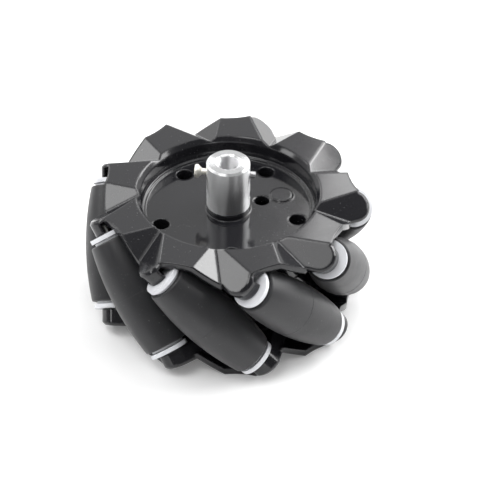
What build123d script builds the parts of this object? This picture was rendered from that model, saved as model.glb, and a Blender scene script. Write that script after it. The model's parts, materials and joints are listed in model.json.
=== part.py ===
from build123d import *
from math import atan2, cos, degrees, radians, sin, sqrt, tan
import os

# Mecanum wheel. The origin is the wheel's centre and +Z is its axis, towards the coupling's open end.
# Roller 1 is centred on +X. All sizes are in millimetres and all angles in degrees.

# Wheel
WHEEL_R = 40.0            # envelope that the rollers roll on
HUB_WIDTH = 37.0          # over the lands of both hub halves
ROLLER_COUNT = 9
ROLLER_TILT = 45.0        # between a roller's axis and the wheel's axis

# Roller and its pin, as radii and lengths along the pin
ROLLER_R = 7.7            # rubber at mid length
TREAD_ROUND = 0.5
CORE_R = 4.2
FLANGE_R = 4.6
FLANGE_T = 0.6
PIN_R = 1.0
PIN_HEAD_R = 1.8
PIN_HEAD_H = 1.6
WASHER_R = 5.4
WASHER_T = 1.2
SPIN_GAP = 0.2            # between a core's flange and the washer beside it
BORE_CLEARANCE = 0.05     # radial, core and washers on the pin
BOND_GAP = 0.01           # rubber on its core
SEAT_GAP = 0.15           # washer to ear

# Ear that holds a pin end
EAR_DROP = 2.4            # pin axis below the land, where it meets the outer face of the ear
EAR_SLOPE = 38.7          # outer face, from level
EAR_BEARING = -84.9       # direction that the outer face looks in, seen from above, for the roller on +X
EAR_R = 4.5
EAR_INSET = 1.3           # centre of the ear's round end, inwards of the pin
EAR_SKIN = 1.5            # outer face plate, along the pin
EAR_CRADLE = 2.9          # cradle under the pin, along the pin
EAR_CHAMFER = 0.7
CRADLE_RISE = 0.2         # cradle's top edge above the pin's axis
LIP_RISE = 2.4            # the same, for its outer lip
LIP_T = 1.2
PIN_END_GAP = 0.3
GROOVE_CLEARANCE = 0.03
HEAD_POCKET_CLEARANCE = 0.2

# Folded crown of a hub half
CROWN_PAST_PINS = 2.0     # outer edge between the ears, beyond the pins' circle
CORNER_PAST_PINS = 3.6    # where a land meets its ear, beyond the pins' circle
LAND_ARC = 8.3            # length of a land along the outer edge
LAND_DISH = 0.45          # hollow of a land's outer edge
APEX_INSIDE_RIM = 3.2     # where the folds would meet
SLOPE_DOWN = 34.1         # the long facet behind a land
SKIN = 2.0
FOLD_ROUND = 0.4
WASHER_ROOM = 0.3         # round the washer, under the land

# Dished centre of a hub half
WALL_FLARE = 2.2          # wall under the rim, beyond the drum
RIM_BEVEL = 1.2
RIM_BEVEL_H = 1.4
RIM_WALL = 0.8            # flat top of the rim
RECESS_DEPTH = 6.24
WALL_DRAFT = 0.3
LEDGE_W = 0.8
LEDGE_H = 0.6
FLOOR_T = 2.2
DRUM_GAP = 0.6            # drum to the rollers
DRUM_WALL = 2.2
DRUM_H = 9.0              # straight part of the drum, from the middle
CENTRE_BOSS_R = 8.0
RIB_T = 1.6
COLLAR_H = 1.74
PAD_R = 3.15              # plain round pad on the floor
PAD_H = 0.45
PAD_FROM_AXIS = 15.9
VENT_R = 2.0              # single small hole in the floor
VENT_FROM_AXIS = 10.0
VENT_BEVEL = 0.3

# Screws that clamp the two halves
SHELL_SCREW_COUNT = 5
SHELL_SCREW_INSET = 4.3   # from the drum
SHELL_SCREW_TURN = 36.0
WELL_R = 2.3
WELL_SEAT = 4.0           # screw head's seat above the middle
POST_WALL = 1.3
SHELL_SHANK_R = 1.45
SHELL_HEAD_H = 2.0
SHELL_SCREW_REACH = 7.0   # below the middle
PILOT_EXTRA = 1.0
THREAD_CLEARANCE = 0.05
HEAD_CLEARANCE = 0.15
DRIVE_R = 1.0
DRIVE_DEPTH = 0.9

# Coupling and its screws
COUPLING_R = 6.0
COUPLING_L = 14.2         # round part, above the collar
COUPLING_BEVEL = 0.5
SHOULDER_BEVEL = 0.2
SHAFT_R = 3.0
SHAFT_DEPTH = 30.0
MOUTH_R = 3.7
MOUTH_DEPTH = 0.35
HEX_AF = 9.0
HEX_CLEARANCE = 0.05
HEX_END = 9.0             # below the middle
COUPLING_SCREW_R = 0.9
COUPLING_SCREW_DROP = 3.8 # screw axes below the coupling's top
CLAMP_BEARING = 152.5
CLAMP_STICK_OUT = 1.2     # shank between coupling and head
CLAMP_HEAD_R = 1.95
CLAMP_HEAD_FLARE = 1.2    # cone under the head
CLAMP_HEAD_H = 0.8
GRUB_STICK_OUT = 1.5
GRUB_TIP_GAP = 0.1        # screw tips to the bore's wall
SPARE_HOLE_R = 1.25
SPARE_HOLE_RISE = 3.55    # above the coupling's shoulder
RETAINER_SHANK_R = 1.95
RETAINER_REACH = 7.0      # into the coupling
RETAINER_HEAD_R = 3.5
RETAINER_HEAD_H = 2.4
RETAINER_WASHER_R = 5.5
RETAINER_WASHER_T = 0.8

# Worked out from the sizes above
PITCH = 360.0 / ROLLER_COUNT
LAND_Z = HUB_WIDTH / 2
AXIS_R = WHEEL_R - ROLLER_R
FLOOR_Z = LAND_Z - RECESS_DEPTH
COLLAR_Z = FLOOR_Z + COLLAR_H
COUPLING_TOP = COLLAR_Z + COUPLING_L
COUPLING_SCREW_Z = COUPLING_TOP - COUPLING_SCREW_DROP
GRUB_BEARING = CLAMP_BEARING + 180
DRUM_R = AXIS_R - ROLLER_R - DRUM_GAP
CROWN_R = AXIS_R + CROWN_PAST_PINS
LAND_CORNER_R = AXIS_R + CORNER_PAST_PINS
WALL_R = DRUM_R + WALL_FLARE
RIM_R = WALL_R - RIM_WALL
MOUTH_OF_RECESS_R = RIM_R - RIM_BEVEL
LEDGE_R = MOUTH_OF_RECESS_R - WALL_DRAFT
FOLD_APEX_R = RIM_R - APEX_INSIDE_RIM
SHELL_SCREW_CIRCLE_R = DRUM_R - SHELL_SCREW_INSET

# Distances along a pin from the roller's centre, going outwards
EAR_FACE_S = (LAND_Z - EAR_DROP) / cos(radians(ROLLER_TILT))
EAR_PLATE_S = EAR_FACE_S - EAR_SKIN
EAR_INNER_S = EAR_PLATE_S - EAR_CRADLE
PIN_END_S = EAR_PLATE_S - PIN_END_GAP
WASHER_OUT_S = EAR_INNER_S - SEAT_GAP
WASHER_IN_S = WASHER_OUT_S - WASHER_T
CORE_END_S = WASHER_IN_S - SPIN_GAP
TREAD_END_S = CORE_END_S - FLANGE_T
HEAD_POCKET_S = WASHER_OUT_S + PIN_HEAD_H + HEAD_POCKET_CLEARANCE

BIG = 3 * WHEEL_R
MIN_Z = (Align.CENTER, Align.CENTER, Align.MIN)
MAX_Z = (Align.CENTER, Align.CENTER, Align.MAX)


def level(bearing):
    return Vector(cos(radians(bearing)), sin(radians(bearing)), 0)


def tilted(side, tilt):
    """Unit vector tilted from +Z towards a level vector."""
    return side.normalized() * sin(radians(tilt)) + Vector(0, 0, cos(radians(tilt)))


PIN_UP = tilted(Vector(0, -1, 0), ROLLER_TILT)
EAR_NORMAL = tilted(level(EAR_BEARING), EAR_SLOPE)
EAR_POINT = Vector(AXIS_R, 0, 0) + PIN_UP * EAR_FACE_S


def roller_frame(k):
    """Frame of roller k at its centre: x outwards from the wheel, z along the pin to the upper ear."""
    return Rot(0, 0, k * PITCH) * Location(Plane((AXIS_R, 0, 0), x_dir=(1, 0, 0), z_dir=PIN_UP))


def rod(radius, low, high):
    """Cylinder on the local z axis between two heights."""
    return Pos(0, 0, low) * Cylinder(radius, high - low, align=MIN_Z)


def all_round(shape, count=ROLLER_COUNT):
    return [Rot(0, 0, 360 * k / count) * shape for k in range(count)]


def land_ear_corner(radius):
    """Point at a wheel radius on the fold between the first land and its ear."""
    facing = level(EAR_BEARING)
    edge_offset = EAR_POINT.dot(facing) - (LAND_Z - EAR_POINT.Z) / tan(radians(EAR_SLOPE))
    along = Vector(-facing.Y, facing.X, 0) * sqrt(radius**2 - edge_offset**2)
    return facing * edge_offset + along + Vector(0, 0, LAND_Z)


def at_bearing(radius, bearing):
    return level(bearing) * radius + Vector(0, 0, LAND_Z)


def bearing_of(point):
    return degrees(atan2(point.Y, point.X))


LAND_CORNER = land_ear_corner(LAND_CORNER_R)
LAND_END_BEARING = bearing_of(LAND_CORNER) + degrees(LAND_ARC / CROWN_R)
LAND_END = at_bearing(CROWN_R, LAND_END_BEARING)
FOLD_APEX = at_bearing(FOLD_APEX_R, bearing_of(land_ear_corner(FOLD_APEX_R)) + PITCH)


def trench():
    """Wedge over the first valley: all that lies above both the long facet and the next ear's face."""
    edge = LAND_END - FOLD_APEX
    long_facet = tilted(Vector(-edge.Y, edge.X, 0), SLOPE_DOWN)
    next_ear = tilted(level(EAR_BEARING + PITCH), EAR_SLOPE)
    block = Box(2 * WHEEL_R, 2 * WHEEL_R, WHEEL_R, align=MIN_Z)
    return (Plane(FOLD_APEX, z_dir=long_facet) * block) & (Plane(FOLD_APEX, z_dir=next_ear) * block)


def crown_outline():
    """Outer edge of the crown in plan: a dished land, an arc over the valley, a line under the ear."""
    edges = []
    for k in range(ROLLER_COUNT):
        turn = k * PITCH
        corner = at_bearing(LAND_CORNER_R, bearing_of(LAND_CORNER) + turn)
        land_end = at_bearing(CROWN_R, LAND_END_BEARING + turn)
        next_corner = at_bearing(LAND_CORNER_R, bearing_of(LAND_CORNER) + turn + PITCH)
        valley_bearing = (LAND_END_BEARING + bearing_of(LAND_CORNER) + PITCH) / 2 + turn
        valley = at_bearing(CROWN_R, valley_bearing)
        middle = (corner + land_end) * 0.5
        dished = middle - middle.project_to_plane(Plane.XY).normalized() * LAND_DISH
        over_valley = at_bearing(CROWN_R, (LAND_END_BEARING + turn + valley_bearing) / 2)
        edges += [ThreePointArc(corner, dished, land_end), ThreePointArc(land_end, over_valley, valley)]
        edges.append(Line(valley, next_corner))
    return make_face(Wire(edges))


def crown_block():
    """Solid crown before the folds are cut."""
    return extrude(crown_outline(), DRUM_H + WALL_FLARE - LAND_Z)


def crown_hollow(trenches):
    """The space under the folded skin: the folds again, lower by the skin."""
    ring = rod(WHEEL_R + SKIN, 0, LAND_Z) - rod(WALL_R, 0, LAND_Z)
    return Pos(0, 0, -SKIN) * (ring - trenches)


def turned(*corners):
    """Solid of revolution from corners given as radius and height."""
    return revolve(Plane.XZ * make_face(Polyline(*corners, close=True)), Axis.Z)


def drum_blank():
    """Drum and flared wall of the centre, still solid."""
    return turned(
        (0, 0), (DRUM_R, 0), (DRUM_R, DRUM_H), (WALL_R, DRUM_H + WALL_FLARE), (WALL_R, LAND_Z), (0, LAND_Z)
    )


def recess():
    """The space over the floor, round the collar, out through the bevelled rim."""
    above = LAND_Z + RIM_BEVEL_H
    return turned(
        (COUPLING_R, FLOOR_Z), (LEDGE_R - LEDGE_W, FLOOR_Z), (LEDGE_R - LEDGE_W, FLOOR_Z + LEDGE_H),
        (LEDGE_R, FLOOR_Z + LEDGE_H), (MOUTH_OF_RECESS_R, LAND_Z - RIM_BEVEL_H), (RIM_R, LAND_Z),
        (RIM_R, above), (0, above), (0, COLLAR_Z), (COUPLING_R, COLLAR_Z),
    )


def under_floor():
    """The space inside the drum, round the centre boss."""
    inside, top = DRUM_R - DRUM_WALL, FLOOR_Z - FLOOR_T
    return turned((CENTRE_BOSS_R, 0), (inside, 0), (inside, top), (CENTRE_BOSS_R, top))


def ear():
    """Ear of the first roller: an outer plate and the cradle that a pin end lies in."""
    tail = AXIS_R - EAR_INSET
    outline = Pos(-EAR_INSET, 0) * (Circle(EAR_R) + Pos(-tail / 2, 0) * Rectangle(tail, 2 * EAR_R))
    held = Pos(0, CRADLE_RISE - EAR_R) * Rectangle(4 * EAR_R + 2 * tail, 2 * EAR_R)
    held += Pos(2 * EAR_R - EAR_INSET - LIP_T, LIP_RISE - EAR_R) * Rectangle(2 * EAR_R, 2 * EAR_R)
    plate = Pos(0, 0, EAR_PLATE_S) * extrude(outline, 3 * EAR_SKIN)
    cradle = Pos(0, 0, EAR_INNER_S) * extrude(outline & held, EAR_CRADLE)
    cradle -= rod(PIN_HEAD_R + HEAD_POCKET_CLEARANCE, EAR_INNER_S, HEAD_POCKET_S)
    cradle -= rod(PIN_R + GROOVE_CLEARANCE, EAR_INNER_S, EAR_PLATE_S)
    face_plane = Plane(EAR_POINT, z_dir=EAR_NORMAL)
    blank = roller_frame(0) * (plate + cradle) - face_plane * Box(BIG, BIG, BIG, align=MIN_Z)
    face = blank.faces().sort_by(Axis(EAR_POINT, EAR_NORMAL))[-1]
    round_edges = [e for e in face.edges() if e.geom_type != GeomType.LINE]
    blank = chamfer(round_edges, EAR_CHAMFER)
    above_land = Pos(0, 0, LAND_Z) * Box(BIG, BIG, BIG, align=MIN_Z)
    return blank - above_land - rod(DRUM_R - DRUM_WALL / 2, 0, LAND_Z)


def fold_edges(body):
    """Edges that run straight from a fold apex."""
    apexes = [FOLD_APEX.rotate(Axis.Z, k * PITCH) for k in range(ROLLER_COUNT)]
    found = []
    for edge in body.edges().filter_by(GeomType.LINE):
        start, run = edge.position_at(0), edge.tangent_at(0)
        if min((apex - start).cross(run).length for apex in apexes) < 1e-3:
            found.append(edge)
    return found


def screw_places():
    return [
        Rot(0, 0, SHELL_SCREW_TURN + 360 * k / SHELL_SCREW_COUNT) * Pos(SHELL_SCREW_CIRCLE_R, 0, 0)
        for k in range(SHELL_SCREW_COUNT)
    ]


def centre_details(body, wells):
    """Posts, ribs, holes, pad and hexagon socket. Wells take screw heads, and pilot holes their threads."""
    under = FLOOR_Z - FLOOR_T / 2
    rib_run = DRUM_R - DRUM_WALL / 2 - CENTRE_BOSS_R / 2
    rib = Pos(CENTRE_BOSS_R / 2 + rib_run / 2, 0, 0) * Box(rib_run, RIB_T, under, align=MIN_Z)
    body += [place * rod(WELL_R + POST_WALL, 0, under) for place in screw_places()]
    first_rib = SHELL_SCREW_TURN + 180 / SHELL_SCREW_COUNT
    body += [Rot(0, 0, first_rib) * each for each in all_round(rib, SHELL_SCREW_COUNT)]
    body += Pos(PAD_FROM_AXIS, 0, FLOOR_Z - FLOOR_T / 2) * Cylinder(PAD_R, FLOOR_T / 2 + PAD_H, align=MIN_Z)
    if wells:
        hole = rod(WELL_R, WELL_SEAT, LAND_Z) + rod(SHELL_SHANK_R + HEAD_CLEARANCE, 0, LAND_Z)
    else:
        hole = rod(SHELL_SHANK_R + THREAD_CLEARANCE, 0, SHELL_SCREW_REACH + PILOT_EXTRA)
    body -= [place * hole for place in screw_places()]
    socket = RegularPolygon(HEX_AF / 2 + HEX_CLEARANCE, 6, major_radius=False)
    body -= extrude(socket, LAND_Z)
    vent = Pos(0, 0, FLOOR_Z) * Cone(VENT_R, VENT_R + 2 * VENT_BEVEL, 2 * VENT_BEVEL)
    return body - Pos(VENT_FROM_AXIS, 0, 0) * (vent + rod(VENT_R, 0, LAND_Z))


def hub_half(wells):
    """One moulded half, upper side up."""
    trenches = all_round(trench())
    ears = all_round(ear())
    body = drum_blank() + crown_block() - trenches + ears - rod(MOUTH_OF_RECESS_R, COLLAR_Z, LAND_Z)
    body = fillet(fold_edges(body), FOLD_ROUND)
    body -= crown_hollow(trenches) - ears
    body -= all_round(roller_frame(0) * rod(WASHER_R + WASHER_ROOM, 0, EAR_INNER_S))
    body -= recess() + under_floor()
    return centre_details(body, wells)


def tread():
    """Rubber barrel whose outside lies on the wheel's envelope: r(s) = sqrt(R^2 - (s sin tilt)^2) - axis."""
    def radius(s):
        return sqrt(WHEEL_R**2 - (s * sin(radians(ROLLER_TILT)))**2) - AXIS_R

    end_r = radius(TREAD_END_S)
    bore = CORE_R + BOND_GAP
    curve = ThreePointArc((end_r, -TREAD_END_S), (ROLLER_R, 0), (end_r, TREAD_END_S))
    sides = Polyline((end_r, TREAD_END_S), (bore, TREAD_END_S), (bore, -TREAD_END_S), (end_r, -TREAD_END_S))
    barrel = revolve(Plane.XZ * make_face([curve, sides]), Axis.Z)
    corners = [e for e in barrel.edges().filter_by(GeomType.CIRCLE) if abs(e.radius - end_r) < 1e-3]
    return fillet(corners, TREAD_ROUND)


def core():
    """Hard sleeve inside the rubber, with a flange at each end."""
    sleeve = rod(CORE_R, -CORE_END_S, CORE_END_S)
    sleeve += [rod(FLANGE_R, TREAD_END_S, CORE_END_S), rod(FLANGE_R, -CORE_END_S, -TREAD_END_S)]
    return sleeve - rod(PIN_R + BORE_CLEARANCE, -CORE_END_S, CORE_END_S)


def axle_pin():
    """Steel pin with a round tip in the upper ear and a domed head in the lower one."""
    shank = fillet(rod(PIN_R, -WASHER_OUT_S, PIN_END_S).edges().sort_by(Axis.Z)[-1], PIN_R * 0.9)
    head = rod(PIN_HEAD_R, -WASHER_OUT_S - PIN_HEAD_H, -WASHER_OUT_S)
    return shank + fillet(head.edges().sort_by(Axis.Z)[0], PIN_HEAD_R / 2)


def end_washers():
    ring = rod(WASHER_R, WASHER_IN_S, WASHER_OUT_S) - rod(PIN_R + BORE_CLEARANCE, WASHER_IN_S, WASHER_OUT_S)
    return Compound([ring, mirror(ring, Plane.XY)])


def radial_hole(radius, height, bearing):
    return Rot(0, 0, bearing) * Pos(0, 0, height) * Rot(0, 90, 0) * rod(radius, 0, 2 * COUPLING_R)


def coupling():
    """Turned coupling: round nose with the shaft bore, hexagon tail through the hub."""
    body = rod(COUPLING_R, COLLAR_Z, COUPLING_TOP)
    body = chamfer(body.edges().filter_by(GeomType.CIRCLE).sort_by(Axis.Z)[-1], COUPLING_BEVEL)
    body = chamfer(body.edges().filter_by(GeomType.CIRCLE).sort_by(Axis.Z)[0], SHOULDER_BEVEL)
    hexagon = RegularPolygon(HEX_AF / 2, 6, major_radius=False)
    body += Pos(0, 0, -HEX_END) * extrude(hexagon, HEX_END + COLLAR_Z)
    mouth = Pos(0, 0, COUPLING_TOP - MOUTH_DEPTH / 2) * Cone(SHAFT_R, MOUTH_R, MOUTH_DEPTH)
    body -= rod(SHAFT_R, COUPLING_TOP - SHAFT_DEPTH, COUPLING_TOP) + mouth
    body -= rod(RETAINER_SHANK_R + THREAD_CLEARANCE, -HEX_END, RETAINER_REACH + PILOT_EXTRA - HEX_END)
    for bearing in (CLAMP_BEARING, GRUB_BEARING):
        body -= radial_hole(COUPLING_SCREW_R + THREAD_CLEARANCE, COUPLING_SCREW_Z, bearing)
    return body - radial_hole(SPARE_HOLE_R, COLLAR_Z + SPARE_HOLE_RISE, GRUB_BEARING)


def lay_radially(screw, bearing):
    """Turns a screw made along +Z to point outwards at the coupling screws' height."""
    return Rot(0, 0, bearing) * Pos(0, 0, COUPLING_SCREW_Z) * Rot(0, 90, 0) * screw


def clamp_screw():
    """Headed screw that stands out of the coupling."""
    flare = COUPLING_R + CLAMP_STICK_OUT
    seat = flare + CLAMP_HEAD_FLARE
    head = rod(CLAMP_HEAD_R, seat, seat + CLAMP_HEAD_H)
    screw = fillet(head.edges().sort_by(Axis.Z)[-1], CLAMP_HEAD_H / 2)
    screw += Pos(0, 0, flare) * Cone(COUPLING_SCREW_R, CLAMP_HEAD_R, CLAMP_HEAD_FLARE, align=MIN_Z)
    screw += rod(COUPLING_SCREW_R, SHAFT_R + GRUB_TIP_GAP, flare)
    return lay_radially(screw, CLAMP_BEARING)


def grub_screw():
    end = COUPLING_R + GRUB_STICK_OUT
    screw = rod(COUPLING_SCREW_R, SHAFT_R + GRUB_TIP_GAP, end)
    screw -= Pos(0, 0, end) * extrude(RegularPolygon(COUPLING_SCREW_R / 2, 6), -COUPLING_SCREW_R)
    return lay_radially(screw, GRUB_BEARING)


def cross_drive():
    """Cross recess, downwards from the local origin."""
    slot = Box(2 * DRIVE_R, DRIVE_R / 2, DRIVE_DEPTH, align=MAX_Z)
    return slot + Rot(0, 0, 90) * slot


def shell_screw():
    """Screw that clamps the halves, head up in its well."""
    head = rod(WELL_R - HEAD_CLEARANCE, WELL_SEAT, WELL_SEAT + SHELL_HEAD_H)
    screw = fillet(head.edges().sort_by(Axis.Z)[-1], SHELL_HEAD_H / 4)
    screw += rod(SHELL_SHANK_R, -SHELL_SCREW_REACH, WELL_SEAT)
    return screw - Pos(0, 0, WELL_SEAT + SHELL_HEAD_H) * cross_drive()


def shell_screws():
    return Compound([place * shell_screw() for place in screw_places()])


def retaining_washer():
    top = -COLLAR_Z
    hole = RETAINER_SHANK_R + HEAD_CLEARANCE
    return rod(RETAINER_WASHER_R, top - RETAINER_WASHER_T, top) - rod(hole, top - RETAINER_WASHER_T, top)


def retaining_screw():
    """Screw from the back that pulls the coupling into its socket, head down."""
    seat = -COLLAR_Z - RETAINER_WASHER_T
    head = rod(RETAINER_HEAD_R, seat - RETAINER_HEAD_H, seat)
    screw = fillet(head.edges().sort_by(Axis.Z)[0], RETAINER_HEAD_H / 3)
    screw += rod(RETAINER_SHANK_R, seat, RETAINER_REACH - HEX_END)
    return screw - Pos(0, 0, seat - RETAINER_HEAD_H) * Rot(180, 0, 0) * scale(cross_drive(), (2, 2, 1))


def build():
    """Every sub-part by node name."""
    nodes = {
        "upper_hub_half": hub_half(wells=True),
        "lower_hub_half": Rot(180, 0, 0) * hub_half(wells=False),
        "shaft_coupling": coupling(),
        "clamp_screw": clamp_screw(),
        "grub_screw": grub_screw(),
        "shell_screws": shell_screws(),
        "retaining_washer": retaining_washer(),
        "retaining_screw": retaining_screw(),
    }
    roller = {
        "roller_tread": tread(), "roller_core": core(), "axle_pin": axle_pin(), "end_washers": end_washers()
    }
    for k in range(ROLLER_COUNT):
        for name, shape in roller.items():
            nodes[f"{name}_{k + 1}"] = roller_frame(k) * shape
    return nodes


os.makedirs("parts", exist_ok=True)
for node, shape in build().items():
    export_step(shape, f"parts/{node}.step")
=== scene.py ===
import json
from math import cos, pi, radians, sin

import bmesh
import bpy
from bpy.props import FloatProperty, FloatVectorProperty, IntProperty, PointerProperty
from mathutils import Matrix, Vector


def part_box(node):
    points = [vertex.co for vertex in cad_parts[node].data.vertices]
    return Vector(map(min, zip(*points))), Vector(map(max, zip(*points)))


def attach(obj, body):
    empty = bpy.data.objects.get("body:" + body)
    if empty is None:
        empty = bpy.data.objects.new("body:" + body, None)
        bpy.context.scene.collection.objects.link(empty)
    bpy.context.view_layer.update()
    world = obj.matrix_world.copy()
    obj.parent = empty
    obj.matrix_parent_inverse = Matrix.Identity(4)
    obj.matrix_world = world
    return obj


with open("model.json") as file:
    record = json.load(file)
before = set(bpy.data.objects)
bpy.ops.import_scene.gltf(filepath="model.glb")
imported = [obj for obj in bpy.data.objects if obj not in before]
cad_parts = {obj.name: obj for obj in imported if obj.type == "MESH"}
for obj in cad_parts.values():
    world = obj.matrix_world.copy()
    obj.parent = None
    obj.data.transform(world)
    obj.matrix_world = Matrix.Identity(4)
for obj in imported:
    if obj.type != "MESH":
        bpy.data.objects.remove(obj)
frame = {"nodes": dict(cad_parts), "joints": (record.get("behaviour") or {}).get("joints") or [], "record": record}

bl_info = {
    "name": "Mecanum wheel looks",
    "version": (1, 0, 0),
    "blender": (4, 5, 0),
    "location": "3D View > Sidebar > Mecanum wheel",
    "description": "Finishes, small turned and moulded details, studio and camera for the mecanum wheel",
    "category": "Object",
}

NODES = frame["nodes"]
ROLLER_JOINTS = [j for j in frame["joints"] if j["name"].endswith("_spin")]
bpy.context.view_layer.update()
FLOOR_Z = min(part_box(name)[0].z for name in NODES)
FLOOR_GAP = 0.0001      # floor under the lowest point, in metres
WHITE = (1, 1, 1, 1)
HUB_DUST = (0.10, 0.10, 0.10, 1)
TREAD_DUST = (0.09, 0.09, 0.09, 1)

# The coupling's faced end and its reamed bore, in metres. Their colours hold painted light: painted shade on the
# faced end, a painted highlight ring round the bore and painted light in the bore
BORE_RADIUS = 0.003
BORE_HIGHLIGHT_WIDTH = 0.0005       # width of a painted highlight ring round the bore, drawn where a bevel would catch the light
TONE_EDGE = 0.0001      # over which one tone passes into the next
FACE_DEPTH = 0.00005
FACED_PAINTED_SHADE = 0.74      # painted shade: the faced end drawn darker than the turned side, which leaves the painted highlight ring round the bore
FACED_ROUGHER = -0.14
BORE_ROUGHER = 0.45
# Painted light: the bore drawn paler than the rest of the coupling, standing in for light that reaches into it
BORE_PAINTED_LIGHT = (0.95, 0.95, 0.96, 1)

# The part of the surroundings that mirrors see as front and as back: cosine of the angle from straight back
FRONT_FROM, BACK_FROM = -0.3, 0.5

# Name, direction round the wheel and height above level in degrees, width and height in metres, watts
SOFTBOXES = (
    ("right_key", 8, 33.5, 0.40, 0.26, 4.1),
    ("right_strip", 41, 37, 0.50, 0.20, 1.6),
    ("right_side", -18, 30, 0.24, 0.34, 1.9),
    ("left_strip", 142, 36, 1.70, 0.14, 3.6),
    ("overhead_softbox", 190, 68, 0.30, 0.30, 1.8),
    ("front_left_softbox", 222, 60, 0.22, 0.22, 0.45),
    ("top_softbox", 20, 78, 0.40, 0.40, 1.2),
)


def colour(name, description, default):
    return FloatVectorProperty(
        name=name, description=description, default=default, size=3, min=0, max=1, subtype="COLOR"
    )


def length(name, description, default):
    return FloatProperty(
        name=name, description=description, default=default, min=0, subtype="DISTANCE", unit="LENGTH"
    )


class WheelFinish(bpy.types.PropertyGroup):
    hub_colour: colour("Hub plastic", "Colour of the glossy moulded hub halves", (0.012, 0.012, 0.014))
    hub_roughness: FloatProperty(
        name="Hub roughness", description="Roughness of the polished mould surface", default=0.09, min=0,
        max=1
    )
    rubber_colour: colour("Tread rubber", "Colour of the moulded roller treads", (0.016, 0.016, 0.018))
    edge_round: length("Edge rounding", "Radius that light shows on the hub's moulded edges", 0.0009)
    white_colour: colour("White plastic", "Colour of the roller cores and end washers", (0.80, 0.81, 0.84))
    washer_colour: colour("Steel washer", "Colour of the retaining screw's washer", (0.86, 0.87, 0.88))
    pin_colour: colour("Axle pins", "Colour of the drawn steel pins", (0.66, 0.65, 0.63))
    coupling_colour: colour("Coupling", "Colour of the turned coupling", (0.74, 0.745, 0.75))
    clamp_colour: colour("Clamp screw", "Colour of the headed screw in the coupling", (0.92, 0.89, 0.82))
    grub_colour: colour("Grub screw", "Colour of the headless screw in the coupling", (0.50, 0.50, 0.51))
    dark_screw_colour: colour("Hub screws", "Colour of the blackened screws in the hub", (0.02, 0.02, 0.022))


class WheelDetails(bpy.types.PropertyGroup):
    thread_pitch: length("Thread pitch", "Pitch of the thread on the coupling screws", 0.0004)
    thread_height: length("Thread height", "Height of the thread over the shank", 0.0001)
    thread_gap: length("Thread gap", "Bare shank between the coupling and a thread", 0.00005)
    grub_thread: length("Grub thread", "Length of the thread on the grub screw", 0.0013)
    clamp_thread: length("Clamp thread", "Length of the thread on the clamp screw", 0.0011)
    thread_steps: IntProperty(
        name="Thread steps", description="Facets in a turn of a thread", default=32, min=8
    )
    seam_width: length("Seam width", "Width of the mould seam round a tread", 0.00035)
    seam_height: length("Seam height", "Height of the mould seam over the rubber", 0.00004)
    seam_steps: IntProperty(name="Seam steps", description="Facets round a mould seam", default=96, min=12)


class WheelStudio(bpy.types.PropertyGroup):
    floor_colour: colour("Floor", "Colour of the floor", (0.93, 0.93, 0.93))
    floor_size: length("Floor size", "Side of the square floor", 6.0)
    floor_lift: FloatProperty(
        name="Floor lift", description="Glow of the floor in the camera and in mirrors", default=0.12, min=0
    )
    back_level: FloatProperty(
        name="Back level", description="Mirrored brightness behind the wheel", default=1.1, min=0
    )
    front_level: FloatProperty(
        name="Front level", description="Mirrored brightness in front of the wheel", default=0.15, min=0
    )
    fill_level: FloatProperty(
        name="Fill level", description="Brightness that fills the shade", default=0.42, min=0
    )
    light_distance: length("Light distance", "Soft boxes to the wheel's centre", 0.8)
    camera_distance: length("Camera distance", "Camera to the wheel's centre", 0.5343)
    camera_height: FloatProperty(
        name="Camera height", description="Angle of the view above level", default=radians(39.2),
        subtype="ANGLE"
    )
    camera_turn: FloatProperty(
        name="Camera turn", description="Direction of the view round the wheel", default=radians(-111.1),
        subtype="ANGLE",
    )
    lens: FloatProperty(name="Lens", description="Focal length in millimetres", default=142.6, min=1)


# Small helpers for node trees

def socket(tree, name, kind, output=False, default=None):
    made = tree.interface.new_socket(name=name, in_out="OUTPUT" if output else "INPUT", socket_type=kind)
    if default is not None:
        made.default_value = default
    return made


def add(tree, kind, values=None, **settings):
    """New node with settings, and values or links for its inputs."""
    node = tree.nodes.new(kind)
    for key, value in settings.items():
        setattr(node, key, value)
    for key, value in (values or {}).items():
        if isinstance(value, bpy.types.NodeSocket):
            tree.links.new(value, node.inputs[key])
        else:
            node.inputs[key].default_value = value
    return node


def maths(tree, operation, a, b=0.0, c=0.0):
    return add(tree, "ShaderNodeMath", {0: a, 1: b, 2: c}, operation=operation).outputs[0]


def remap(tree, value, from_low, from_high, to_low, to_high):
    return add(
        tree, "ShaderNodeMapRange",
        {"Value": value, "From Min": from_low, "From Max": from_high, "To Min": to_low, "To Max": to_high},
    ).outputs["Result"]


def shade(colour_value, factor):
    """A colour made darker, with its alpha."""
    return (*(c * factor for c in colour_value), 1)


def blend_colours(tree, factor, a, b):
    node = tree.nodes.new("ShaderNodeMix")
    node.data_type = "RGBA"
    for key, value in (("Factor_Float", factor), ("A_Color", a), ("B_Color", b)):
        target = next(s for s in node.inputs if s.identifier == key)
        if isinstance(value, bpy.types.NodeSocket):
            tree.links.new(value, target)
        else:
            target.default_value = value
    return next(s for s in node.outputs if s.identifier == "Result_Color")


def group_tree(name, inputs, outputs):
    tree = bpy.data.node_groups.new(name, "ShaderNodeTree")
    for label, kind, default in inputs:
        socket(tree, label, kind, default=default)
    for label, kind in outputs:
        socket(tree, label, kind, output=True)
    return tree, tree.nodes.new("NodeGroupInput").outputs, tree.nodes.new("NodeGroupOutput").inputs


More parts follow.
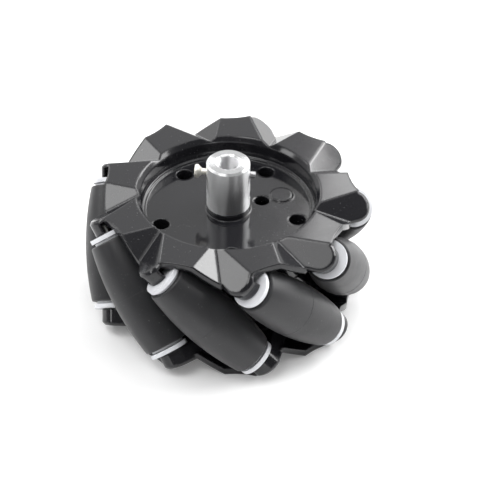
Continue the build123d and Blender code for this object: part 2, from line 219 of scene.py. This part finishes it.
def handling_marks():
    """Faint smears and dust on a surface: a roughness, and a mask of light dust."""
    if "Handling marks" in bpy.data.node_groups:
        return bpy.data.node_groups["Handling marks"]
    tree, given, out = group_tree(
        "Handling marks",
        [("Base Roughness", "NodeSocketFloat", 0.1), ("Smear", "NodeSocketFloat", 0.05),
         ("Scale", "NodeSocketFloat", 60.0)],
        [("Roughness", "NodeSocketFloat"), ("Dust", "NodeSocketFloat")],
    )
    place = add(tree, "ShaderNodeTexCoord").outputs["Object"]
    smear = add(
        tree, "ShaderNodeTexNoise",
        {"Vector": place, "Scale": given["Scale"], "Detail": 3.0, "Roughness": 0.6},
    )
    cloud = remap(tree, smear.outputs["Fac"], 0.4, 0.7, 0.0, 1.0)
    rough = maths(tree, "MULTIPLY_ADD", cloud, given["Smear"], given["Base Roughness"])
    tree.links.new(rough, out["Roughness"])
    speck = add(tree, "ShaderNodeTexNoise", {"Vector": place, "Scale": 1600.0, "Detail": 1.0})
    dust = maths(tree, "MULTIPLY", remap(tree, speck.outputs["Fac"], 0.70, 0.78, 0.0, 1.0), cloud)
    tree.links.new(dust, out["Dust"])
    return tree


def fine_grain():
    """Tiny uneven grain of a moulded or cast surface, as a bump normal."""
    if "Fine grain" in bpy.data.node_groups:
        return bpy.data.node_groups["Fine grain"]
    tree, given, out = group_tree(
        "Fine grain",
        [("Scale", "NodeSocketFloat", 900.0), ("Strength", "NodeSocketFloat", 0.1)],
        [("Normal", "NodeSocketVector"), ("Grain", "NodeSocketFloat")],
    )
    place = add(tree, "ShaderNodeTexCoord").outputs["Object"]
    noise = add(tree, "ShaderNodeTexNoise", {"Vector": place, "Scale": given["Scale"], "Detail": 2.0})
    grain = noise.outputs["Fac"]
    bump = add(tree, "ShaderNodeBump", {"Strength": given["Strength"], "Distance": 0.00005, "Height": grain})
    tree.links.new(bump.outputs["Normal"], out["Normal"])
    tree.links.new(grain, out["Grain"])
    return tree


def turned_lines():
    """Fine rings that a lathe leaves round the wheel's axis, as a bump normal and a tone."""
    if "Turned lines" in bpy.data.node_groups:
        return bpy.data.node_groups["Turned lines"]
    tree, given, out = group_tree(
        "Turned lines",
        [("Pitch", "NodeSocketFloat", 9000.0), ("Strength", "NodeSocketFloat", 0.2)],
        [("Normal", "NodeSocketVector"), ("Tone", "NodeSocketFloat")],
    )
    place = add(tree, "ShaderNodeTexCoord").outputs["Object"]
    axes = add(tree, "ShaderNodeSeparateXYZ", {"Vector": place}).outputs
    flat = add(tree, "ShaderNodeCombineXYZ", {"X": axes["X"], "Y": axes["Y"]}).outputs["Vector"]
    radius = add(tree, "ShaderNodeVectorMath", {0: flat}, operation="LENGTH").outputs["Value"]
    along = add(tree, "ShaderNodeCombineXYZ", {"X": radius, "Y": axes["Z"]}).outputs["Vector"]
    noise = add(tree, "ShaderNodeTexNoise", {"Vector": along, "Scale": given["Pitch"], "Detail": 1.0})
    rings = noise.outputs["Fac"]
    bump = add(tree, "ShaderNodeBump", {"Strength": given["Strength"], "Distance": 0.00004, "Height": rings})
    tree.links.new(bump.outputs["Normal"], out["Normal"])
    tree.links.new(rings, out["Tone"])
    return tree


def use_group(tree, made, **values):
    node = tree.nodes.new("ShaderNodeGroup")
    node.node_tree = made
    for key, value in values.items():
        node.inputs[key.replace("_", " ")].default_value = value
    return node.outputs


def material(name, colour_value, **constants):
    """New material with one Principled shader. Constants go straight onto its sockets."""
    made = bpy.data.materials.new(name)
    made.use_nodes = True
    tree = made.node_tree
    shader = tree.nodes["Principled BSDF"]
    shader.inputs["Base Color"].default_value = (*colour_value, 1)
    for key, value in constants.items():
        shader.inputs[key.replace("_", " ")].default_value = value
    return made, tree, shader


def dress(made, names):
    """Gives CAD nodes this material in every slot."""
    for name in names:
        slots = NODES[name].data.materials
        slots.clear()
        slots.append(made)


def roller_nodes(stem):
    return [name for name in NODES if name.startswith(stem + "_") and name[len(stem) + 1:].isdigit()]


def hub_material(finish):
    made, tree, shader = material(
        "Polished black plastic", finish.hub_colour, IOR=1.5, Specular_IOR_Level=0.5
    )
    marks = use_group(tree, handling_marks(), Base_Roughness=finish.hub_roughness, Smear=0.05, Scale=70.0)
    grain = use_group(tree, fine_grain(), Scale=260.0, Strength=0.03)
    tint = blend_colours(tree, marks["Dust"], (*finish.hub_colour, 1), HUB_DUST)
    rounded = add(
        tree, "ShaderNodeBevel", {"Radius": finish.edge_round, "Normal": grain["Normal"]}, samples=8
    )
    tree.links.new(tint, shader.inputs["Base Color"])
    tree.links.new(marks["Roughness"], shader.inputs["Roughness"])
    tree.links.new(rounded.outputs["Normal"], shader.inputs["Normal"])
    return made


def rubber_material(finish):
    made, tree, shader = material(
        "Moulded black rubber", finish.rubber_colour, IOR=1.5, Specular_IOR_Level=0.5, Sheen_Weight=0.08,
        Sheen_Roughness=0.5
    )
    marks = use_group(tree, handling_marks(), Base_Roughness=0.40, Smear=0.12, Scale=110.0)
    grain = use_group(tree, fine_grain(), Scale=2200.0, Strength=0.25)
    tint = blend_colours(tree, marks["Dust"], (*finish.rubber_colour, 1), TREAD_DUST)
    tree.links.new(tint, shader.inputs["Base Color"])
    tree.links.new(marks["Roughness"], shader.inputs["Roughness"])
    tree.links.new(grain["Normal"], shader.inputs["Normal"])
    return made


def white_material(finish):
    made, tree, shader = material("White moulded plastic", finish.white_colour, IOR=1.5)
    grain = use_group(tree, fine_grain(), Scale=1500.0, Strength=0.15)
    white = finish.white_colour
    tone = blend_colours(tree, grain["Grain"], shade(white, 0.92), shade(white, 1))
    marks = use_group(tree, handling_marks(), Base_Roughness=0.36, Smear=0.10, Scale=90.0)
    tree.links.new(tone, shader.inputs["Base Color"])
    tree.links.new(marks["Roughness"], shader.inputs["Roughness"])
    tree.links.new(grain["Normal"], shader.inputs["Normal"])
    return made


def metal_material(name, colour_value, roughness, smear, grain_scale, grain_strength):
    """Plain metal, a little darker in the hollows of its grain."""
    made, tree, shader = material(name, colour_value, Metallic=1.0)
    marks = use_group(tree, handling_marks(), Base_Roughness=roughness, Smear=smear, Scale=160.0)
    grain = use_group(tree, fine_grain(), Scale=grain_scale, Strength=grain_strength)
    tone = blend_colours(tree, grain["Grain"], shade(colour_value, 0.94), shade(colour_value, 1))
    tree.links.new(tone, shader.inputs["Base Color"])
    tree.links.new(marks["Roughness"], shader.inputs["Roughness"])
    tree.links.new(grain["Normal"], shader.inputs["Normal"])
    return made


def coupling_material(finish):
    """Lathe marks round the axis spread a reflection along it. The end is smoother, the bore rougher. The end has
    painted shade beyond a painted highlight ring at the bore, and the bore has painted light.
    """
    made, tree, shader = material(
        "Turned bright aluminium", finish.coupling_colour, Metallic=1.0, Anisotropic=1.0,
        Anisotropic_Rotation=0.25
    )
    lines = use_group(tree, turned_lines(), Pitch=5200.0, Strength=0.06)
    marks = use_group(tree, handling_marks(), Base_Roughness=0.30, Smear=0.06, Scale=190.0)
    metal = finish.coupling_colour
    tone = blend_colours(tree, lines["Tone"], shade(metal, 0.90), shade(metal, 1))
    place = add(tree, "ShaderNodeTexCoord").outputs["Object"]
    axes = add(tree, "ShaderNodeSeparateXYZ", {"Vector": place}).outputs
    flat = add(tree, "ShaderNodeCombineXYZ", {"X": axes["X"], "Y": axes["Y"]}).outputs["Vector"]
    reach = add(tree, "ShaderNodeVectorMath", {0: flat}, operation="LENGTH").outputs["Value"]
    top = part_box("shaft_coupling")[1].z
    end = remap(tree, axes["Z"], top - FACE_DEPTH, top, 0.0, 1.0)
    # Painted highlight: a ring round the bore keeps the full metal colour, where a bevel would catch the light
    highlight_ring_edge = BORE_RADIUS + BORE_HIGHLIGHT_WIDTH
    faced_painted_shade = maths(tree, "MULTIPLY", end, remap(tree, reach, highlight_ring_edge, highlight_ring_edge + TONE_EDGE, 0.0, 1.0))
    # Painted shade: the faced end beyond the ring is drawn darker
    tone = blend_colours(tree, faced_painted_shade, tone, shade(metal, FACED_PAINTED_SHADE))
    # Painted light in the bore: drawn paler, and also rougher
    bore = remap(tree, reach, BORE_RADIUS + TONE_EDGE, BORE_RADIUS, 0.0, 1.0)
    tone = blend_colours(tree, bore, tone, BORE_PAINTED_LIGHT)
    rough = maths(tree, "MULTIPLY_ADD", bore, BORE_ROUGHER, marks["Roughness"])
    rough = maths(tree, "MULTIPLY_ADD", end, FACED_ROUGHER, rough)
    round_axis = add(tree, "ShaderNodeTangent", direction_type="RADIAL", axis="Z").outputs["Tangent"]
    tree.links.new(tone, shader.inputs["Base Color"])
    tree.links.new(rough, shader.inputs["Roughness"])
    tree.links.new(lines["Normal"], shader.inputs["Normal"])
    tree.links.new(round_axis, shader.inputs["Tangent"])
    return made


# Pieces made here

def finished_piece(mesh, name, made, body):
    """Turns a bmesh in the wheel's frame into a smooth object that rides on a body."""
    bmesh.ops.remove_doubles(mesh, verts=mesh.verts, dist=1e-7)
    bmesh.ops.recalc_face_normals(mesh, faces=mesh.faces)
    data = bpy.data.meshes.new(name)
    mesh.to_mesh(data)
    mesh.free()
    for face in data.polygons:
        face.use_smooth = True
    piece = bpy.data.objects.new(name, data)
    bpy.context.scene.collection.objects.link(piece)
    data.materials.append(made)
    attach(piece, body)
    return piece


def ring_between(outline, steps, place):
    """Closed outline of (radius, height) points, spun round the local z axis and moved to its place."""
    mesh = bmesh.new()
    corners = [mesh.verts.new((r, 0, z)) for r, z in outline]
    edges = [mesh.edges.new((corners[i - 1], corners[i])) for i in range(len(corners))]
    bmesh.ops.spin(
        mesh, geom=corners + edges, axis=(0, 0, 1), cent=(0, 0, 0), angle=2 * pi, steps=steps, use_merge=True
    )
    bmesh.ops.transform(mesh, matrix=place, verts=mesh.verts)
    return mesh


def thread_ridge(radius, height, pitch, low, high, steps, place):
    """Helical ridge round the local z axis between two heights, moved to its place."""
    mesh = bmesh.new()
    base, half = radius - height, pitch * 0.4
    profile = ((base, 0, low), (radius + height, 0, low + half), (base, 0, low + 2 * half))
    corners = [mesh.verts.new(point) for point in profile]
    edges = [mesh.edges.new((corners[i - 1], corners[i])) for i in range(3)]
    count = int((high - low - 2 * half) / pitch * steps)
    bmesh.ops.spin(
        mesh, geom=corners + edges, axis=(0, 0, 1), cent=(0, 0, 0), dvec=(0, 0, pitch / steps),
        angle=2 * pi * count / steps, steps=count
    )
    bmesh.ops.holes_fill(mesh, edges=mesh.edges)
    bmesh.ops.transform(mesh, matrix=place, verts=mesh.verts)
    return mesh


def frame_at(point, direction):
    """Matrix that puts the local z axis along a direction at a point."""
    return Matrix.Translation(point) @ Vector(direction).to_track_quat("Z", "Y").to_matrix().to_4x4()


class WHEEL_OT_hub(bpy.types.Operator):
    """Finishes the two moulded hub halves"""
    bl_idname = "wheel.hub"
    bl_label = "Hub halves"

    def execute(self, context):
        dress(hub_material(context.scene.wheel_finish), ["upper_hub_half", "lower_hub_half"])
        return {"FINISHED"}


class WHEEL_OT_treads(bpy.types.Operator):
    """Finishes the rubber treads and adds the mould seam round each"""
    bl_idname = "wheel.treads"
    bl_label = "Roller treads"

    def execute(self, context):
        made = rubber_material(context.scene.wheel_finish)
        dress(made, roller_nodes("roller_tread"))
        details = context.scene.wheel_details
        for joint in ROLLER_JOINTS:
            number = joint["child"].rsplit("_", 1)[1]
            place = frame_at(Vector(joint["pos_m"]), joint["axis"])
            back = place.inverted()
            tread = NODES["roller_tread_" + number].data
            radius = max((back @ v.co).to_2d().length for v in tread.vertices)
            half, top = details.seam_width / 2, radius + details.seam_height
            outline = [(radius - half, -half), (top, -half / 3), (top, half / 3), (radius - half, half)]
            ring = ring_between(outline, details.seam_steps, place)
            finished_piece(ring, "tread_seam_" + number, made, joint["child"])
        return {"FINISHED"}


class WHEEL_OT_cores(bpy.types.Operator):
    """Finishes the roller cores and end washers"""
    bl_idname = "wheel.cores"
    bl_label = "Roller cores and end washers"

    def execute(self, context):
        white = white_material(context.scene.wheel_finish)
        dress(white, roller_nodes("roller_core") + roller_nodes("end_washers"))
        return {"FINISHED"}


class WHEEL_OT_axles(bpy.types.Operator):
    """Finishes the axle pins"""
    bl_idname = "wheel.axles"
    bl_label = "Axle pins"

    def execute(self, context):
        drawn = metal_material(
            "Drawn steel", context.scene.wheel_finish.pin_colour, roughness=0.22, smear=0.12,
            grain_scale=1400.0, grain_strength=0.10
        )
        dress(drawn, roller_nodes("axle_pin"))
        return {"FINISHED"}


class WHEEL_OT_coupling(bpy.types.Operator):
    """Finishes the turned shaft coupling"""
    bl_idname = "wheel.coupling"
    bl_label = "Shaft coupling"

    def execute(self, context):
        dress(coupling_material(context.scene.wheel_finish), ["shaft_coupling"])
        return {"FINISHED"}


class WHEEL_OT_screws(bpy.types.Operator):
    """Finishes the screws and the washer under the retaining screw, and threads the coupling screws"""
    bl_idname = "wheel.screws"
    bl_label = "Screws"

    def execute(self, context):
        finish = context.scene.wheel_finish
        plated = metal_material(
            "Plated screw steel", finish.clamp_colour, roughness=0.34, smear=0.10, grain_scale=900.0,
            grain_strength=0.08
        )
        grey = metal_material(
            "Grey screw steel", finish.grub_colour, roughness=0.30, smear=0.10, grain_scale=900.0,
            grain_strength=0.08
        )
        stamped = metal_material(
            "Bright stamped steel", finish.washer_colour, roughness=0.30, smear=0.12, grain_scale=1100.0,
            grain_strength=0.08
        )
        dark = metal_material(
            "Blackened screw steel", finish.dark_screw_colour, roughness=0.38, smear=0.12, grain_scale=900.0,
            grain_strength=0.15
        )
        dress(stamped, ["retaining_washer"])
        dress(plated, ["clamp_screw"])
        dress(grey, ["grub_screw"])
        dress(dark, ["shell_screws", "retaining_screw"])
        hole = next(m for m in frame["record"]["mounts"] if m["name"] == "side_screw_hole")
        details = context.scene.wheel_details
        self.thread("grub", grey, Vector(hole["axis"]), details.grub_thread, details)
        self.thread("clamp", plated, -Vector(hole["axis"]), details.clamp_thread, details)
        return {"FINISHED"}

    def thread(self, stem, made, direction, run, details):
        """Thread on the bare shank, from the coupling's side outwards."""
        low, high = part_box("grub_screw")
        radius, centre = (high.z - low.z) / 2, Vector((0, 0, (high.z + low.z) / 2))
        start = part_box("shaft_coupling")[1].x + details.thread_gap
        ridge = thread_ridge(
            radius, details.thread_height, details.thread_pitch, start, start + run, details.thread_steps,
            frame_at(centre, direction)
        )
        finished_piece(ridge, stem + "_thread", made, "hub")


def soft_box(name, place, width, tall, power):
    """Oblong lamp that looks at the wheel's centre and isn't seen itself."""
    data = bpy.data.lights.new(name, "AREA")
    data.energy = power
    data.shape = "RECTANGLE"
    data.size, data.size_y = width, tall
    lamp = bpy.data.objects.new(name, data)
    lamp.matrix_world = frame_at(place, place)
    lamp.visible_camera = False
    bpy.context.scene.collection.objects.link(lamp)


class WHEEL_OT_studio(bpy.types.Operator):
    """Builds the pale floor, the soft lights and the camera"""
    bl_idname = "wheel.studio"
    bl_label = "Studio"

    def execute(self, context):
        studio = context.scene.wheel_studio
        self.floor(studio)
        self.lights(context, studio)
        self.camera(context, studio)
        context.scene.view_settings.view_transform = "Standard"
        return {"FINISHED"}

    def floor(self, studio):
        """Pale floor that glows a little in the camera and in mirrors, and is clear from below."""
        mesh = bmesh.new()
        bmesh.ops.create_grid(mesh, x_segments=1, y_segments=1, size=studio.floor_size / 2)
        bmesh.ops.translate(mesh, verts=mesh.verts, vec=(0, 0, FLOOR_Z - FLOOR_GAP))
        data = bpy.data.meshes.new("studio_floor")
        mesh.to_mesh(data)
        mesh.free()
        floor = bpy.data.objects.new("studio_floor", data)
        bpy.context.scene.collection.objects.link(floor)
        made, tree, shader = material(
            "Pale floor", studio.floor_colour, Roughness=0.9, Specular_IOR_Level=0.1
        )
        path = add(tree, "ShaderNodeLightPath").outputs
        mirrored = maths(tree, "MAXIMUM", path["Is Glossy Ray"], path["Is Transmission Ray"])
        seen = maths(tree, "MAXIMUM", path["Is Camera Ray"], mirrored)
        tree.links.new(maths(tree, "MULTIPLY", seen, studio.floor_lift), shader.inputs["Emission Strength"])
        shader.inputs["Emission Color"].default_value = WHITE
        below = add(tree, "ShaderNodeNewGeometry").outputs["Backfacing"]
        clear = add(tree, "ShaderNodeBsdfTransparent").outputs["BSDF"]
        both = add(tree, "ShaderNodeMixShader", {0: below, 1: shader.outputs["BSDF"], 2: clear})
        tree.links.new(both.outputs["Shader"], tree.nodes["Material Output"].inputs["Surface"])
        data.materials.append(made)

    def lights(self, context, studio):
        """Pale surroundings that are darker in front, and the soft boxes."""
        world = bpy.data.worlds.new("Studio")
        context.scene.world = world
        world.use_nodes = True
        tree = world.node_tree
        background = tree.nodes["Background"]
        path = add(tree, "ShaderNodeLightPath").outputs
        back = (-cos(studio.camera_turn), -sin(studio.camera_turn), 0)
        ray = add(tree, "ShaderNodeTexCoord").outputs["Generated"]
        facing = add(tree, "ShaderNodeVectorMath", {0: ray, 1: back}, operation="DOT_PRODUCT")
        mirrored = remap(
            tree, facing.outputs["Value"], FRONT_FROM, BACK_FROM, studio.front_level, studio.back_level
        )
        level = add(
            tree, "ShaderNodeMix", {0: path["Is Glossy Ray"], 2: studio.fill_level, 3: mirrored}
        ).outputs[0]
        tree.links.new(maths(tree, "MAXIMUM", level, path["Is Camera Ray"]), background.inputs["Strength"])
        background.inputs["Color"].default_value = WHITE
        for name, turn, height, width, tall, power in SOFTBOXES:
            flat = cos(radians(height))
            towards = Vector((flat * cos(radians(turn)), flat * sin(radians(turn)), sin(radians(height))))
            soft_box(name, towards * studio.light_distance, width, tall, power)

    def camera(self, context, studio):
        data = bpy.data.cameras.new("camera")
        data.lens = studio.lens
        data.sensor_width = 36
        data.shift_x, data.shift_y = 0.0244, 0.0051
        camera = bpy.data.objects.new("camera", data)
        level = cos(studio.camera_height)
        towards = Vector((
            level * cos(studio.camera_turn), level * sin(studio.camera_turn), sin(studio.camera_height)
        ))
        camera.location = towards * studio.camera_distance
        camera.rotation_euler = towards.to_track_quat("Z", "Y").to_euler()
        context.scene.collection.objects.link(camera)
        context.scene.camera = camera


OPERATORS = (
    WHEEL_OT_hub, WHEEL_OT_treads, WHEEL_OT_cores, WHEEL_OT_axles,
    WHEEL_OT_coupling, WHEEL_OT_screws, WHEEL_OT_studio,
)


class WHEEL_PT_panel(bpy.types.Panel):
    """Lists the steps that dress the wheel"""
    bl_idname = "WHEEL_PT_panel"
    bl_label = "Mecanum wheel"
    bl_space_type = "VIEW_3D"
    bl_region_type = "UI"
    bl_category = "Mecanum wheel"

    def draw(self, context):
        for operator in OPERATORS:
            self.layout.operator(operator.bl_idname)


GROUPS = (("wheel_finish", WheelFinish), ("wheel_details", WheelDetails), ("wheel_studio", WheelStudio))


def register():
    for name, group in GROUPS:
        bpy.utils.register_class(group)
        setattr(bpy.types.Scene, name, PointerProperty(type=group))
    for made in (*OPERATORS, WHEEL_PT_panel):
        bpy.utils.register_class(made)


def unregister():
    for made in reversed((*OPERATORS, WHEEL_PT_panel)):
        bpy.utils.unregister_class(made)
    for name, group in reversed(GROUPS):
        delattr(bpy.types.Scene, name)
        bpy.utils.unregister_class(group)


def main():
    register()
    for step in ("hub", "treads", "cores", "axles", "coupling", "screws", "studio"):
        getattr(bpy.ops.wheel, step)()
    bpy.context.view_layer.update()


if __name__ == "__main__":
    main()
